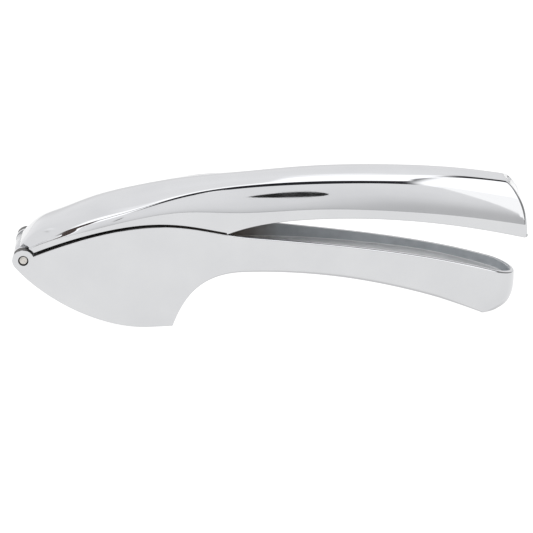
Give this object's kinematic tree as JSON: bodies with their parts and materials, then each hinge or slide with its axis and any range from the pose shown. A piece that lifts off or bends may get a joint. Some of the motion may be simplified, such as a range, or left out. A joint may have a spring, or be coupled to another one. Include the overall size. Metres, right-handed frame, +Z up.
{
  "type": "garlic press",
  "caption": "Hinged two-lever garlic press with a drop-in perforated basket, a pivoting plunger under the upper lever, and long hollow curved handles.",
  "frame": {"origin": "centre of the bounding box at its underside, on the surface that the closed press rests on", "axes": "+X from the hinge towards the handle ends, +Y across the press, +Z up"},
  "size_m": [0.1837, 0.0332, 0.0534],
  "materials": {
    "chrome": "polished chrome plate",
    "cast_chrome": "chrome plate over an unpolished casting",
    "stainless": "pressed stainless steel, satin",
    "pin_steel": "turned steel pin, satin end face"
  },
  "bodies": {
    "base": {"lower_body": "chrome", "hinge_pin": "pin_steel", "strainer_basket": "stainless"},
    "lever": {"upper_handle": "chrome", "plunger_pin": "pin_steel"},
    "plunger": {"plunger": "cast_chrome"}
  },
  "joints": [
    {"name": "handle_hinge", "type": "hinge", "parent": "base", "child": "lever", "pos_m": [-0.0876, 0, 0.0257], "axis": [0, -1, 0], "range_deg": [0, 100]},
    {"name": "plunger_pivot", "type": "hinge", "parent": "lever", "child": "plunger", "pos_m": [-0.055, 0, 0.038], "axis": [0, -1, 0], "range_deg": [-40, 0]}
  ],
  "couplings": [
    {"joint": "plunger_pivot", "follows": "handle_hinge", "ratio": -0.4}
  ]
}
